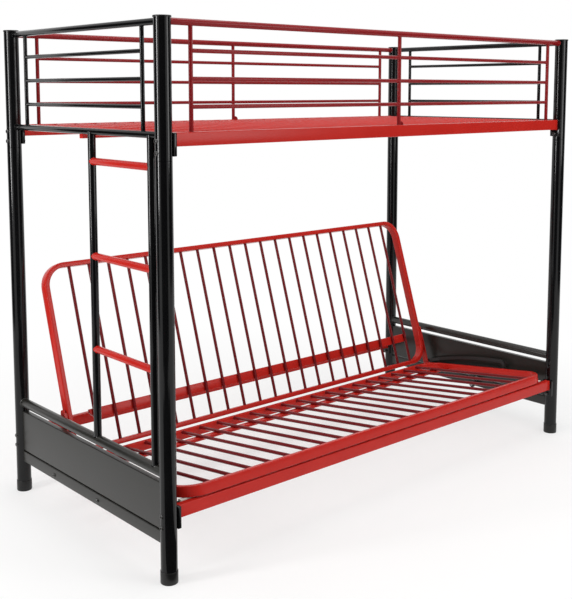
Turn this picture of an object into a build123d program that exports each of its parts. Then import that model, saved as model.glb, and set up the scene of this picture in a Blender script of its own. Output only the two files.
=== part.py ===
from build123d import *
from math import cos, radians, sin
import os

# Metal bunk bed whose lower bunk is a sofa. Four round posts, two ends and two
# pairs of side rails carry a slatted bunk above. Below, a slatted seat and a
# slatted back are hinged together. The seat slides forward on two swivel pads
# behind the front rail, its rear rides in two curved guide plates, and the back
# folds flat behind it, so that the sofa becomes a double bed.
#
# Millimetres. X is the length, with the ladder at -X, -Y is the front, Z is up.
# The origin is on the floor, at the middle of the length and the depth.

# Driving sizes of the whole bed
post_spacing_x = 1950.0
post_spacing_y = 914.0
overall_height = 1642.0

# Posts, their caps and the sleeve that joins the two halves
post_diameter = 50.0
post_wall = 1.5
sleeve_wall = 2.0
sleeve_length = 120.0
seam_below_plate = 12.0
foot_cap_height = 38.0
foot_cap_floor = 4.0
cap_skirt = 1.5
cap_round = 1.0
top_cap_rim = 5.0
top_cap_overhang = 1.5
top_cap_plug = 22.0

# Side rails: box tubes with a saddle plate at each end
side_rail_height = 40.0
side_rail_width = 22.0
side_rail_wall = 1.5
side_rail_round = 3.0
guard_rise = 324.0
lower_rail_top = 229.0
end_plate_thickness = 6.0
end_plate_width = 42.0
end_plate_drop = 27.0
end_plate_reach = 4.0
plate_round = 3.0

# Bolts that hold the side rails to the posts, and those of the guide plates
bolt_diameter = 8.0
bolt_clearance = 0.25
bolt_edge_distance = 10.0
bolt_pitch = 34.0
bolt_head_diameter = 15.0
bolt_head_height = 4.0
bolt_head_round = 2.0
bolt_end = 3.0
socket_radius = 2.9
socket_depth = 2.2
nut_radius = 7.5
nut_height = 6.5

# Upper ends: a barred panel between the posts
end_rail_diameter = 20.0
end_rail_drop = 8.0
top_rail_drop = 15.0
end_upright_diameter = 13.0
end_upright_inset = 102.0
bar_diameter = 12.5
bar_count = 3
tube_wall = 1.2

# Guards along the front and the back of the upper bunk
guard_rail_diameter = 20.0
guard_upright_diameter = 13.0
guard_upright_inset = 96.0
guard_lug_width = 22.0
guard_lug_height = 13.0
guard_lug_thickness = 4.0

# Ladder on the left end
ladder_from_front = 62.0
ladder_width = 328.0
stile_diameter = 25.0
rung_diameter = 23.0
rung_count = 3
top_rung_drop = 92.0

# Lower ends: a round rail, a closed panel and a box rail
low_rail_diameter = 32.0
low_rail_z = 327.0
panel_gap_top = 13.0
panel_height = 142.0
panel_thickness = 20.0
panel_wall = 1.2
panel_gap_bottom = 4.0
base_rail_height = 40.0
base_rail_width = 22.0

# Slats of the upper bunk and the bar under them
upper_slat_diameter = 12.0
upper_slat_count = 23
upper_slat_inset = 47.5
centre_bar_width = 20.0
centre_bar_height = 20.0

# Seat and back frames, seen flat
slat_count = 21
slat_inset = 107.0
slat_diameter = 12.0
slat_wall = 1.0
slat_drop = 1.0
frame_side_gap = 28.0
frame_tube_width = 18.0
frame_tube_depth = 34.0
frame_tube_wall = 1.2
frame_corner = 85.0
frame_edge_round = 3.0
seat_length = 640.0
hinge_gap = 20.0
back_reach = 691.0
seat_tilt = 7.6
back_lean = 17.8

# Flat bars across the slats
seat_bar_width = 35.0
seat_bar_to_hinge = 119.0
back_bar_width = 35.0
back_bar_from_hinge = 128.0
back_bar_inset = 90.0
back_bar_taper = 22.0
cross_bar_depth = 10.0
cross_bar_wall = 1.2

# Hinge between the seat and the back
hinge_plate_thickness = 5.0
hinge_plate_width = 26.0
seat_plate_length = 165.0
back_plate_length = 182.0
back_plate_seat = 62.0
hinge_plate_play = 1.0
hinge_pin_diameter = 10.0
hinge_pin_play = 0.05
hinge_pin_head_radius = 8.0
hinge_pin_head_height = 4.0

# Guide plates and the rollers that run in their slots
roller_diameter = 18.0
roller_width = 8.0
roller_gap = 1.5
slot_play = 0.45
guide_play = 3.0
guide_thickness = 5.0
guide_rim = 14.0
guide_pad_radius = 15.0
guide_bolt_past_hinge = 22.5
guide_bolt_spacing = 283.0
guide_bolt_height = 16.0
guide_spacer_radius = 10.0
retainer_radius = 12.0
retainer_thickness = 2.5
retainer_gap = 0.8

# Swivel pads behind the front rail, and their brackets
pad_behind_rail = 11.0
pad_radius = 7.0
pad_height = 14.0
pad_length = 60.0
pad_outer_inset = 2.0
pad_play = 0.4
pad_side_play = 1.0
pad_pin_diameter = 7.0
pad_pin_play = 0.05
pad_top_round = 1.5
bracket_thickness = 3.0
bracket_above = 8.0
bracket_below = 13.0
bracket_reach = 8.0
rail_play = 0.8

# Allowance that only makes cutters run past what they cut
overrun = 20.0

# Places worked out from the sizes above
post_radius = post_diameter / 2
post_x = post_spacing_x / 2
post_y = post_spacing_y / 2
post_bore = post_radius - post_wall
cap_radius = post_radius + cap_skirt
post_top = overall_height - top_cap_rim
top_rail_z = overall_height - top_rail_drop
upper_rail_top = overall_height - guard_rise
end_rail_z = upper_rail_top - end_rail_drop
end_upright_y = post_y - end_upright_inset
guard_upright_x = post_x - guard_upright_inset
ladder_middle_y = -post_y + ladder_from_front + ladder_width / 2
top_rung_z = end_rail_z - top_rung_drop
rung_pitch = (top_rung_z - low_rail_z) / rung_count
rail_front_y = -post_y - side_rail_width / 2
rail_inner_y = post_y - side_rail_width / 2
rail_end_x = post_x - post_radius - end_plate_thickness
upper_slat_reach = rail_end_x - upper_slat_inset
frame_half_width = post_x - post_radius - frame_side_gap
slat_reach = frame_half_width - slat_inset
back_bar_half_length = frame_half_width - back_bar_inset
upper_plate_bottom = upper_rail_top - side_rail_height - end_plate_drop
lower_plate_bottom = lower_rail_top - side_rail_height - end_plate_drop
seam_z = upper_plate_bottom - seam_below_plate
plate_levels = (lower_plate_bottom, upper_plate_bottom)
bolt_heights = (bolt_edge_distance, bolt_edge_distance + bolt_pitch)
panel_top = low_rail_z - low_rail_diameter / 2 - panel_gap_top
panel_bottom = panel_top - panel_height
base_rail_top = panel_bottom - panel_gap_bottom
base_rail_bottom = base_rail_top - base_rail_height
guide_bolt_z = base_rail_bottom + guide_bolt_height
sides = (-1, 1)
corner_names = {(-1, -1): "front_left", (1, -1): "front_right",
                (-1, 1): "back_left", (1, 1): "back_right"}

# The seat slides along its own underside, which stays on the pads' tops
tilt_sin = sin(radians(seat_tilt))
tilt_cos = cos(radians(seat_tilt))
lean_sin = sin(radians(back_lean))
lean_cos = cos(radians(back_lean))
half_depth = frame_tube_depth / 2
underside = pad_height + pad_play
seat_level = underside + half_depth
pad_y = -rail_inner_y + pad_behind_rail
pad_z = lower_rail_top + rail_play - underside
pad_from_front = (pad_y + underside * tilt_sin - rail_front_y) / tilt_cos
hinge_from_front = seat_length + hinge_gap
hinge_from_pad = hinge_from_front - pad_from_front
seat_bar_from_front = hinge_from_front - seat_bar_to_hinge - seat_bar_width
seat_travel = pad_y + hinge_from_pad + back_reach - (post_y + side_rail_width / 2)
seat_front = (pad_y + seat_level * tilt_sin - pad_from_front * tilt_cos,
              pad_z + seat_level * tilt_cos + pad_from_front * tilt_sin)


def hinge_place(share):
    """Y and Z of the hinge line after a share of the seat's travel."""
    angle = radians(seat_tilt * (1 - share))
    along = hinge_from_pad - seat_travel * share
    return (pad_y + along * cos(angle) + seat_level * sin(angle),
            pad_z - along * sin(angle) + seat_level * cos(angle))


hinge_y, hinge_z = hinge_place(0)
guide_bolt_rear_y = hinge_y + guide_bolt_past_hinge
guide_bolt_front_y = guide_bolt_rear_y - guide_bolt_spacing
seat_plane = Plane(origin=(0, *seat_front), x_dir=(1, 0, 0), z_dir=(0, tilt_sin, tilt_cos))
back_plane = Plane(origin=(0, hinge_y, hinge_z), x_dir=(1, 0, 0), z_dir=(0, -lean_cos, lean_sin))

# Layers of the hinge, counted outwards along X from the frames' sides
seat_plate_out = frame_half_width + hinge_plate_thickness
back_plate_in = seat_plate_out + hinge_plate_play
back_plate_out = back_plate_in + hinge_plate_thickness
roller_in = back_plate_out + roller_gap
roller_out = roller_in + roller_width
guide_in = back_plate_out + guide_play
guide_out = guide_in + guide_thickness
retainer_in = roller_out + retainer_gap
retainer_out = retainer_in + retainer_thickness
pad_out = frame_half_width - pad_outer_inset
pad_in = pad_out - pad_length

low_corner = (Align.MIN, Align.MIN, Align.MIN)
standing = (Align.CENTER, Align.CENTER, Align.MIN)
nodes = {}


def keep(name, *shapes):
    """Put every solid of the shapes into the node with this name."""
    solids = nodes.setdefault(name, [])
    for shape in shapes:
        solids.extend(shape.solids())


def rod(start, end, radius):
    """Round bar from one point to another."""
    way = Vector(*end) - Vector(*start)
    return Plane(origin=start, z_dir=way) * Cylinder(radius, way.length, align=standing)


def tube(start, end, radius, wall, copes=()):
    """Round tube whose ends are cut to fit the bars that it meets."""
    shape = rod(start, end, radius) - rod(start, end, radius - wall)
    for cope in copes:
        shape -= cope
    return shape


def block(low, high):
    """Box between two corners."""
    size = [b - a for a, b in zip(low, high)]
    return Pos(*low) * Box(*size, align=low_corner)


def hexagon(start, end, radius):
    """Hexagonal bar from one point to another."""
    way = Vector(*end) - Vector(*start)
    return extrude(Plane(origin=start, z_dir=way) * RegularPolygon(radius, 6), amount=way.length)


def box_tube(low, high, axis, wall, edge_round):
    """Box tube with rounded long edges, open at both ends along its axis."""
    outer = block(low, high)
    outer = fillet(outer.edges().filter_by(axis), edge_round)
    step = Vector(wall, wall, wall) - axis.direction * wall
    bore = block(Vector(*low) + step, Vector(*high) - step)
    return outer - bore


def evenly(reach, count):
    """Evenly spaced places from -reach to reach."""
    return [reach * (2 * i / (count - 1) - 1) for i in range(count)]


def both_sides(shape):
    """The shape and its mirror image on the other end of the bed."""
    return shape, mirror(shape, about=Plane.YZ)


def post_rod(sx, sy):
    """Full round bar where a post stands, from floor to top."""
    return rod((sx * post_x, sy * post_y, 0), (sx * post_x, sy * post_y, overall_height), post_radius)


post_rods = {corner: post_rod(*corner) for corner in corner_names}


def at_posts(shape, level, sx, sy):
    """Place a shape, made about a post's axis with +X outwards, at one post."""
    turn = 0 if sx > 0 else 180
    return Pos(sx * post_x, sy * post_y, level) * Rot(0, 0, turn) * shape


def bolt_holes(level):
    """Cutters for the bolts through one post, about the post's axis."""
    radius = bolt_diameter / 2 + bolt_clearance
    reach = post_radius + end_plate_thickness + overrun
    return [rod((-reach, 0, level + h), (reach, 0, level + h), radius) for h in bolt_heights]


def make_posts():
    """Lower and upper post tubes, drilled for the rail bolts, and the inner sleeves."""
    for (sx, sy), corner in corner_names.items():
        place = (sx * post_x, sy * post_y)
        drills = [at_posts(hole, 0, sx, sy) for level in plate_levels for hole in bolt_holes(level)]
        foot = (*place, foot_cap_floor)
        seam = (*place, seam_z)
        top = (*place, post_top)
        sleeve_low = (*place, seam_z - sleeve_length / 2)
        sleeve_high = (*place, seam_z + sleeve_length / 2)
        keep("lower_post_" + corner, tube(foot, seam, post_radius, post_wall, drills))
        keep("upper_post_" + corner, tube(seam, top, post_radius, post_wall, drills))
        keep("post_sleeves", tube(sleeve_low, sleeve_high, post_bore, sleeve_wall, drills))


def make_caps():
    """Foot caps round the posts' feet and caps plugged into their tops."""
    foot = Cylinder(cap_radius, foot_cap_height, align=standing)
    foot = fillet(foot.edges().filter_by(GeomType.CIRCLE), cap_round)
    foot -= Pos(0, 0, foot_cap_floor) * Cylinder(post_radius, foot_cap_height, align=standing)
    rim = Cylinder(post_radius + top_cap_overhang, top_cap_rim, align=standing)
    rim = fillet(rim.edges().group_by(Axis.Z)[-1], cap_round)
    top = Pos(0, 0, post_top) * rim
    top += Pos(0, 0, post_top - top_cap_plug) * Cylinder(post_bore, top_cap_plug, align=standing)
    for sx, sy in corner_names:
        keep("foot_caps", Pos(sx * post_x, sy * post_y, 0) * foot)
        keep("top_caps", Pos(sx * post_x, sy * post_y, 0) * top)


def rail_bolt():
    """Button-headed bolt with a saddle washer, about the post's axis, head towards +X."""
    radius = bolt_diameter / 2
    head_radius = bolt_head_diameter / 2
    head_x = post_radius + bolt_head_height
    tip_x = -(post_radius + end_plate_thickness + nut_height + bolt_end)
    head = rod((0, 0, 0), (head_x, 0, 0), head_radius)
    head = fillet(head.edges().group_by(Axis.X)[-1], bolt_head_round)
    head -= rod((0, 0, -overrun), (0, 0, overrun), post_radius)
    head -= hexagon((head_x - socket_depth, 0, 0), (head_x + overrun, 0, 0), socket_radius)
    return head + rod((tip_x, 0, 0), (post_radius, 0, 0), radius)


def rail_nut():
    """Nut on the inner face of an end plate, about the post's axis."""
    face_x = -(post_radius + end_plate_thickness)
    nut = hexagon((face_x - nut_height, 0, 0), (face_x, 0, 0), nut_radius)
    return nut - rod((face_x - nut_height, 0, 0), (face_x, 0, 0), bolt_diameter / 2)


def make_fasteners():
    """Bolts and nuts of the side rails, two at each end of each rail."""
    bolt = rail_bolt()
    nut = rail_nut()
    for sx, sy in corner_names:
        for level in plate_levels:
            for height in bolt_heights:
                keep("rail_bolts", at_posts(bolt, level + height, sx, sy))
                keep("rail_nuts", at_posts(nut, level + height, sx, sy))


def end_plate(level):
    """Saddle plate of a side rail's end, about the post's axis."""
    half = end_plate_width / 2
    plate = block((-post_radius - end_plate_thickness, -half, level),
                  (-post_radius + end_plate_reach, half, level + end_plate_drop + side_rail_height))
    plate = fillet(plate.edges().filter_by(Axis.X), plate_round)
    plate -= rod((0, 0, level - overrun), (0, 0, level + side_rail_height + end_plate_drop + overrun), post_radius)
    for hole in bolt_holes(level):
        plate -= hole
    return plate


def make_side_rails():
    """Front and back side rails of both bunks."""
    for name, top, level in (("upper", upper_rail_top, upper_plate_bottom),
                             ("lower", lower_rail_top, lower_plate_bottom)):
        plate = end_plate(level)
        for sy, face in ((-1, "front"), (1, "back")):
            middle = sy * post_y
            rail = box_tube((-rail_end_x, middle - side_rail_width / 2, top - side_rail_height),
                            (rail_end_x, middle + side_rail_width / 2, top),
                            Axis.X, side_rail_wall, side_rail_round)
            plates = [at_posts(plate, 0, sx, sy) for sx in sides]
            keep(f"{name}_side_rail_{face}", rail, *plates)


def bar_heights():
    """Heights of the bars, evenly spaced between the bottom rail and the top rail."""
    step = (top_rail_z - end_rail_z) / (bar_count + 1)
    return [end_rail_z + step * (i + 1) for i in range(bar_count)]


def make_upper_end(sx, name):
    """Barred end of the upper bunk: two rails, two uprights and the bars between them."""
    x = sx * post_x
    posts = [post_rods[(sx, sy)] for sy in sides]
    radius = end_rail_diameter / 2
    rods = {}
    for place, z in (("top", top_rail_z), ("bottom", end_rail_z)):
        rods[place] = rod((x, -post_y, z), (x, post_y, z), radius)
        keep(f"upper_end_{name}_{place}_rail", tube((x, -post_y, z), (x, post_y, z), radius, tube_wall, posts))
    upright_radius = end_upright_diameter / 2
    uprights = []
    for sy in sides:
        low = (x, sy * end_upright_y, end_rail_z)
        high = (x, sy * end_upright_y, top_rail_z)
        uprights.append(rod(low, high, upright_radius))
        keep(f"upper_end_{name}_uprights", tube(low, high, upright_radius, tube_wall, rods.values()))
    for z in bar_heights():
        start = (x, -end_upright_y, z)
        end = (x, end_upright_y, z)
        keep(f"upper_end_{name}_bars", tube(start, end, bar_diameter / 2, tube_wall, uprights))


def make_guard(sy, name):
    """Guard of the upper bunk: a rail between the posts, three uprights and bars."""
    y = sy * post_y
    posts = [post_rods[(sx, sy)] for sx in sides]
    radius = guard_rail_diameter / 2
    start = (-post_x, y, top_rail_z)
    end = (post_x, y, top_rail_z)
    top_rod = rod(start, end, radius)
    keep(f"guard_{name}_top_rail", tube(start, end, radius, tube_wall, posts))
    places = (-guard_upright_x, 0, guard_upright_x)
    upright_radius = guard_upright_diameter / 2
    uprights = []
    for x in places:
        low = (x, y, upper_rail_top)
        high = (x, y, top_rail_z)
        uprights.append(rod(low, high, upright_radius))
        keep(f"guard_{name}_uprights", tube(low, high, upright_radius, tube_wall, [top_rod]))
    for z in bar_heights():
        for left, right in zip(places, places[1:]):
            keep(f"guard_{name}_bars", tube((left, y, z), (right, y, z), bar_diameter / 2, tube_wall, uprights))
    lug = block((0, y - guard_lug_thickness / 2, upper_rail_top),
                (guard_lug_width, y + guard_lug_thickness / 2, upper_rail_top + guard_lug_height))
    corner = lug.edges().filter_by(Axis.Y).sort_by(lambda e: e.center().X + e.center().Z)[-1]
    lug = fillet(corner, guard_lug_height - bolt_clearance)
    keep(f"guard_{name}_uprights", lug - uprights[1])


def make_ladder():
    """Ladder on the left end: two stiles and round rungs between them."""
    x = -post_x
    ends = [rod((x, -post_y, end_rail_z), (x, post_y, end_rail_z), end_rail_diameter / 2),
            rod((x, -post_y, low_rail_z), (x, post_y, low_rail_z), low_rail_diameter / 2)]
    stiles = []
    for side in sides:
        y = ladder_middle_y + side * ladder_width / 2
        low = (x, y, low_rail_z)
        high = (x, y, end_rail_z)
        stiles.append(rod(low, high, stile_diameter / 2))
        keep("ladder_stiles", tube(low, high, stile_diameter / 2, tube_wall, ends))
    for i in range(rung_count):
        z = top_rung_z - i * rung_pitch
        start = (x, ladder_middle_y - ladder_width / 2, z)
        end = (x, ladder_middle_y + ladder_width / 2, z)
        keep("ladder_rungs", tube(start, end, rung_diameter / 2, tube_wall, stiles))


def make_lower_end(sx, name):
    """End of the lower bunk: round rail, closed panel and box rail between the posts."""
    x = sx * post_x
    posts = [post_rods[(sx, sy)] for sy in sides]
    start = (x, -post_y, low_rail_z)
    end = (x, post_y, low_rail_z)
    keep(f"lower_end_{name}_top_rail", tube(start, end, low_rail_diameter / 2, tube_wall, posts))
    half = panel_thickness / 2
    hollow_y = post_y - post_radius - panel_wall
    panel = block((x - half, -post_y, panel_bottom), (x + half, post_y, panel_top))
    panel = fillet(panel.edges().filter_by(Axis.Y), panel_wall)
    panel -= block((x - half + panel_wall, -hollow_y, panel_bottom + panel_wall),
                   (x + half - panel_wall, hollow_y, panel_top - panel_wall))
    half = base_rail_width / 2
    base = box_tube((x - half, -post_y, base_rail_bottom), (x + half, post_y, base_rail_top),
                    Axis.Y, side_rail_wall, side_rail_round)
    for post in posts:
        panel -= post
        base -= post
    radius = bolt_diameter / 2 + bolt_clearance
    for y in (guide_bolt_front_y, guide_bolt_rear_y):
        base -= rod((x - overrun, y, guide_bolt_z), (x + overrun, y, guide_bolt_z), radius)
    keep(f"lower_end_{name}_panel", panel)
    keep(f"lower_end_{name}_base_rail", base)


def make_upper_base():
    """Slats between the upper side rails, and the bar under their middle."""
    z = upper_rail_top - upper_slat_diameter / 2
    for x in evenly(upper_slat_reach, upper_slat_count):
        keep("upper_slats", tube((x, -rail_inner_y, z), (x, rail_inner_y, z), upper_slat_diameter / 2, slat_wall))
    top = upper_rail_top - upper_slat_diameter
    half = centre_bar_width / 2
    bar = box_tube((-post_x, -half, top - centre_bar_height), (post_x, half, top),
                   Axis.X, side_rail_wall, side_rail_round)
    for sx in sides:
        x = sx * post_x
        bar -= rod((x, -post_y, end_rail_z), (x, post_y, end_rail_z), end_rail_diameter / 2)
    keep("upper_centre_bar", bar)


def frame_ring(start, end):
    """Closed frame of bent box tube, flat, between two distances along its own Y."""
    length = end - start
    width = 2 * frame_half_width

    def sheet(inset):
        return RectangleRounded(width - 2 * inset, length - 2 * inset, frame_corner - inset)

    inner = frame_tube_width - frame_tube_wall
    hollow_depth = frame_tube_depth - 2 * frame_tube_wall
    ring = extrude(sheet(0) - sheet(frame_tube_width), amount=frame_tube_depth / 2, both=True)
    faces = ring.edges().group_by(Axis.Z)
    ring = fillet(faces[0] + faces[-1], frame_edge_round)
    ring -= extrude(sheet(frame_tube_wall) - sheet(inner), amount=hollow_depth / 2, both=True)
    return Pos(0, start + length / 2, 0) * ring


def frame_slats(start, end):
    """Slats of the seat or the back, between its two long members."""
    z = half_depth - slat_drop - slat_diameter / 2
    low = start + frame_tube_width
    high = end - frame_tube_width
    slats = []
    for x in evenly(slat_reach, slat_count):
        slats.append(tube((x, low, z), (x, high, z), slat_diameter / 2, slat_wall))
    return slats


def cross_bar(half_length, start, width, taper):
    """Flat closed tube under the slats, with its near corners cut off by the taper."""
    top = half_depth - slat_drop - slat_diameter
    outline = Pos(0, start + width / 2) * Rectangle(2 * half_length, width)
    if taper:
        outline = chamfer(outline.vertices().group_by(Axis.Y)[0], taper)
    hollow = offset(outline, amount=-cross_bar_wall)
    bar = Pos(0, 0, top - cross_bar_depth) * extrude(outline, amount=cross_bar_depth)
    hollow_depth = cross_bar_depth - 2 * cross_bar_wall
    return bar - Pos(0, 0, top - cross_bar_depth + cross_bar_wall) * extrude(hollow, amount=hollow_depth)


def make_seat():
    """Seat: frame, slats, cross bar and the inner hinge plates with their pins."""
    keep("seat_frame", seat_plane * frame_ring(0, seat_length))
    keep("seat_slats", *[seat_plane * slat for slat in frame_slats(0, seat_length)])
    inner = frame_half_width - frame_tube_width
    keep("seat_crossbar", seat_plane * cross_bar(inner, seat_bar_from_front, seat_bar_width, 0))
    plate = hinge_plate(hinge_from_front, -seat_plate_length, frame_half_width, seat_plate_out)
    plate -= rod((0, hinge_from_front, 0), (seat_plate_out, hinge_from_front, 0), hinge_pin_diameter / 2)
    keep("seat_hinge_plates", *both_sides(seat_plane * plate))
    radius = hinge_pin_diameter / 2
    pin_line = [(x, hinge_y, hinge_z) for x in
                (frame_half_width - hinge_pin_head_height, frame_half_width, retainer_in, retainer_out)]
    pin = rod(pin_line[0], pin_line[1], hinge_pin_head_radius) + rod(pin_line[1], pin_line[2], radius)
    pin += rod(pin_line[2], pin_line[3], retainer_radius)
    keep("hinge_pins", *both_sides(pin))
    roller = tube((roller_in, hinge_y, hinge_z), (roller_out, hinge_y, hinge_z),
                  roller_diameter / 2, (roller_diameter - hinge_pin_diameter) / 2)
    keep("guide_rollers", *both_sides(roller))


def hinge_plate(eye, length, x_low, x_high):
    """Flat hinge bar in a frame's own plane, with round ends, from its eye along Y."""
    shape = SlotCenterToCenter(abs(length) - hinge_plate_width / 2, hinge_plate_width)
    middle = eye + (length + (hinge_plate_width / 2 if length < 0 else -hinge_plate_width / 2)) / 2
    flat = Plane(origin=(x_low, middle, 0), x_dir=(0, 1, 0), z_dir=(1, 0, 0)) * shape
    return extrude(flat, amount=x_high - x_low)


def make_back():
    """Back: frame, slats, cross bar and the outer hinge plates on their packers."""
    keep("back_frame", back_plane * frame_ring(hinge_gap, back_reach))
    keep("back_slats", *[back_plane * slat for slat in frame_slats(hinge_gap, back_reach)])
    keep("back_crossbar", back_plane * cross_bar(back_bar_half_length, back_bar_from_hinge,
                                                 back_bar_width, back_bar_taper))
    plate = hinge_plate(0, back_plate_length, back_plate_in, back_plate_out)
    half = hinge_plate_width / 2
    plate += block((frame_half_width, back_plate_length - back_plate_seat, -half),
                   (back_plate_in, back_plate_length - half, half))
    plate -= rod((0, 0, 0), (back_plate_out + overrun, 0, 0), hinge_pin_diameter / 2 + hinge_pin_play)
    keep("back_hinge_plates", *both_sides(back_plane * plate))


def make_guides():
    """Guide plates with curved slots, bolted off the lower ends' base rails."""
    path = ThreePointArc(hinge_place(0), hinge_place(0.5), hinge_place(1))
    slot_width = roller_diameter + 2 * slot_play
    outline = SlotArc(path, slot_width + 2 * guide_rim)
    bolts = ((guide_bolt_rear_y, guide_bolt_z), (guide_bolt_front_y, guide_bolt_z))
    shares = (0, (hinge_y - guide_bolt_front_y) / seat_travel)
    for (y, z), share in zip(bolts, shares):
        near = hinge_place(share)
        ends = Pos(y, z) * Circle(guide_pad_radius) + Pos(*near) * Circle(guide_pad_radius)
        outline += make_hull(ends.edges())
    outline -= SlotArc(path, slot_width)
    for y, z in bolts:
        outline -= Pos(y, z) * Circle(bolt_diameter / 2 + bolt_clearance)
    plate = extrude(Plane(origin=(guide_in, 0, 0), x_dir=(0, 1, 0), z_dir=(1, 0, 0)) * outline,
                    amount=guide_thickness)
    for shape, name in zip(both_sides(plate), ("right", "left")):
        keep("guide_plate_" + name, shape)
    rail_face = post_x - base_rail_width / 2
    head_face = post_x + base_rail_width / 2
    radius = bolt_diameter / 2
    for y, z in bolts:
        spacer = tube((guide_out, y, z), (rail_face, y, z), guide_spacer_radius,
                      guide_spacer_radius - radius - bolt_clearance)
        head = rod((head_face, y, z), (head_face + bolt_head_height, y, z), bolt_head_diameter / 2)
        head = fillet(head.edges().group_by(Axis.X)[-1], bolt_head_round)
        head -= hexagon((head_face + bolt_head_height - socket_depth, y, z),
                        (head_face + overrun, y, z), socket_radius)
        bolt = head + rod((guide_in - nut_height, y, z), (head_face, y, z), radius)
        nut = hexagon((guide_in - nut_height, y, z), (guide_in, y, z), nut_radius)
        nut -= rod((guide_in - overrun, y, z), (guide_in, y, z), radius)
        keep("guide_spacers", *both_sides(spacer))
        keep("guide_bolts", *both_sides(bolt))
        keep("guide_nuts", *both_sides(nut))


def make_pads():
    """Swivel pads under the seat's sides, with their pins and the brackets on the rail."""
    radius = pad_pin_diameter / 2
    section = Circle(pad_radius)
    section += Pos(0, pad_height / 2) * Rectangle(2 * pad_radius, pad_height)
    section -= Circle(radius + pad_pin_play)
    pad = extrude(Plane(origin=(pad_in, 0, 0), x_dir=(0, 1, 0), z_dir=(1, 0, 0)) * section, amount=pad_length)
    pad = fillet(pad.edges().filter_by(Axis.X).group_by(Axis.Z)[-1], pad_top_round)
    pad = Pos(0, pad_y, pad_z) * Rot(-seat_tilt, 0, 0) * pad
    keep("glide_pads", *both_sides(pad))
    inner_ear = pad_in - pad_side_play
    outer_ear = pad_out + pad_side_play
    low_z = pad_z - bracket_below
    high_z = pad_z + bracket_above
    bracket = block((inner_ear - bracket_thickness, -rail_inner_y, low_z),
                    (outer_ear + bracket_thickness, -rail_inner_y + bracket_thickness, high_z))
    for x in (inner_ear - bracket_thickness, outer_ear):
        ear = block((x, -rail_inner_y, low_z), (x + bracket_thickness, pad_y + bracket_reach, high_z))
        bracket += ear
    pin_ends = (inner_ear - bracket_thickness, outer_ear + bracket_thickness)
    pin = rod((pin_ends[0], pad_y, pad_z), (pin_ends[1], pad_y, pad_z), radius)
    bracket -= pin
    keep("glide_brackets", *both_sides(bracket))
    keep("glide_pins", *both_sides(pin))


make_posts()
make_caps()
make_side_rails()
make_fasteners()
for end_side, end_name in zip(sides, ("left", "right")):
    make_upper_end(end_side, end_name)
    make_lower_end(end_side, end_name)
for guard_side, guard_name in zip(sides, ("front", "back")):
    make_guard(guard_side, guard_name)
make_ladder()
make_upper_base()
make_seat()
make_back()
make_guides()
make_pads()

print("seat travel", round(seat_travel, 2), "mm, tilt", seat_tilt, "degrees")
print("hinge line at Y, Z", round(hinge_y, 2), round(hinge_z, 2))
print("pad pivot at Y, Z", round(pad_y, 2), round(pad_z, 2))
print("back folds", round(90 - back_lean + seat_tilt, 2), "degrees against the seat")

os.makedirs("parts", exist_ok=True)
for node_name, node_solids in nodes.items():
    whole = node_solids[0] if len(node_solids) == 1 else Compound(children=node_solids)
    export_step(whole, f"parts/{node_name}.step")
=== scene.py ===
# %% [markdown]
# # A bunk bed whose lower bunk is a sofa
# This lesson dresses a metal bunk bed for a photograph. The bed already exists
# as a CAD model with every tube in its place, and that model is the frame here.
# Its tubes are coarse and plain, so each one is made again as a finer mesh that
# stands exactly where the CAD tube stands, and gets the finish of the real one.

# %% Open the frame
import math

import bmesh
import bpy
from mathutils import Matrix, Vector


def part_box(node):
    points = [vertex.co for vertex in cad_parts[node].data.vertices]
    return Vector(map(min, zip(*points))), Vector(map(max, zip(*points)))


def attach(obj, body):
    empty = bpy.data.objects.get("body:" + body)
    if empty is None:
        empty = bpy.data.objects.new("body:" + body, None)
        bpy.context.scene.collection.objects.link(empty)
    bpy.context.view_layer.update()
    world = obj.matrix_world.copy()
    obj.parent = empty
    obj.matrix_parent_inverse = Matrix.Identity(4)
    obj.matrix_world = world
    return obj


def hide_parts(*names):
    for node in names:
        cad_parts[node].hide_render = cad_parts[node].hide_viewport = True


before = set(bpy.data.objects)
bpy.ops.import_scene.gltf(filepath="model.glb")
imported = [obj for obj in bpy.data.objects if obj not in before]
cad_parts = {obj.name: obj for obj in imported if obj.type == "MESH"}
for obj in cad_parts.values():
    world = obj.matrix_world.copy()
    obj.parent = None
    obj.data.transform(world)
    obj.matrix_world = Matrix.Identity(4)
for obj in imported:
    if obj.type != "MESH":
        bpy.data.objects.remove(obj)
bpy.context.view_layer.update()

# %% [markdown]
# ## Units, and a few sizes that place everything
# Blender works in metres, but furniture is drawn in millimetres. Shapes are
# made in millimetres and scaled once, when they are finished. The bed's main
# places come from the frame: the posts, the heights of the rails, and the line
# that the seat and the back are hinged on.

# %% Read the main places from the frame
MM = 0.001


def span(node, axis):
    """Lowest and highest place of a CAD node along an axis, in millimetres."""
    low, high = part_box(node)
    return low[axis] / MM, high[axis] / MM


def middle(node, axis):
    """Middle of a CAD node along an axis, in millimetres."""
    return sum(span(node, axis)) / 2


X, Y, Z = 0, 1, 2
sides = (-1, 1)
corners = {"front_left": (-1, -1), "front_right": (1, -1), "back_left": (-1, 1), "back_right": (1, 1)}
post_x = middle("lower_post_front_right", X)
post_y = middle("lower_post_back_right", Y)
post_radius = 25.0
post_foot, post_seam = span("lower_post_front_left", Z)
post_top = span("upper_post_front_left", Z)[1]
top_rail_z = middle("guard_front_top_rail", Z)
upper_rail_top = span("upper_side_rail_front", Z)[1]
lower_rail_top = span("lower_side_rail_front", Z)[1]
hinge_y = middle("hinge_pins", Y)
hinge_z = middle("hinge_pins", Z)
print("posts at", round(post_x, 1), round(post_y, 1))
print("posts end at", round(post_top, 1), "and are joined at", round(post_seam, 1))
print("hinge at", round(hinge_y, 1), round(hinge_z, 1))

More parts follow.
